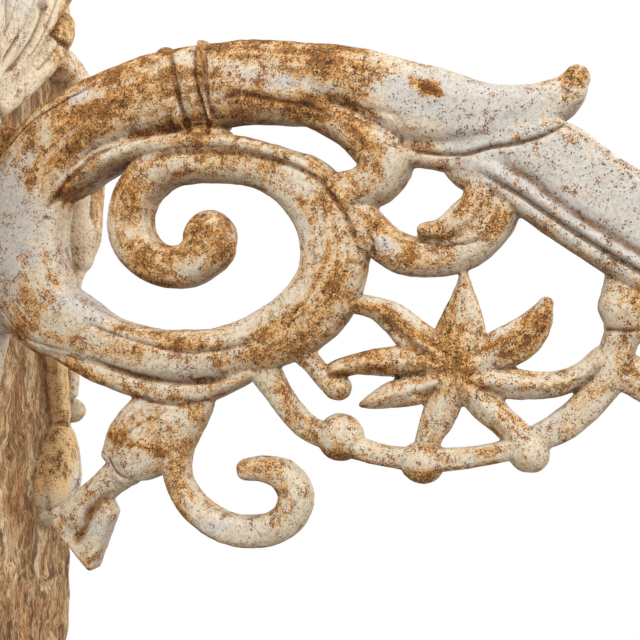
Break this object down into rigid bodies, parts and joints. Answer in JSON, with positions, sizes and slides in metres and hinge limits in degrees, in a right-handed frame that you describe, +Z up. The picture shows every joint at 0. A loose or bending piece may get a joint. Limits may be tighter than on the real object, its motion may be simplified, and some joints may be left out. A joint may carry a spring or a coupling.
{
  "type": "cast iron shelf bracket",
  "caption": "Ornate cast iron wall bracket: a painted, rusting spiral scroll arm with a horned leaf, moulded beam and beaded flower tracery on a tall relief back plate.",
  "frame": {"origin": "on the wall plate's flat back, in its middle plane, level with the middle of the arm's spiral ring", "axes": "+X out from the wall along the arm, +Z up, Y across the plate, in which both halves are alike"},
  "size_m": [0.4291, 0.2156, 0.45],
  "materials": {
    "rusted_iron": "brown streaked rust with worn cream paint on the relief",
    "painted_iron": "aged white paint, speckled and blotched with orange-brown rust"
  },
  "bodies": {
    "root": {"wall_plate": "rusted_iron", "scroll_arm": "painted_iron"}
  },
  "joints": []
}
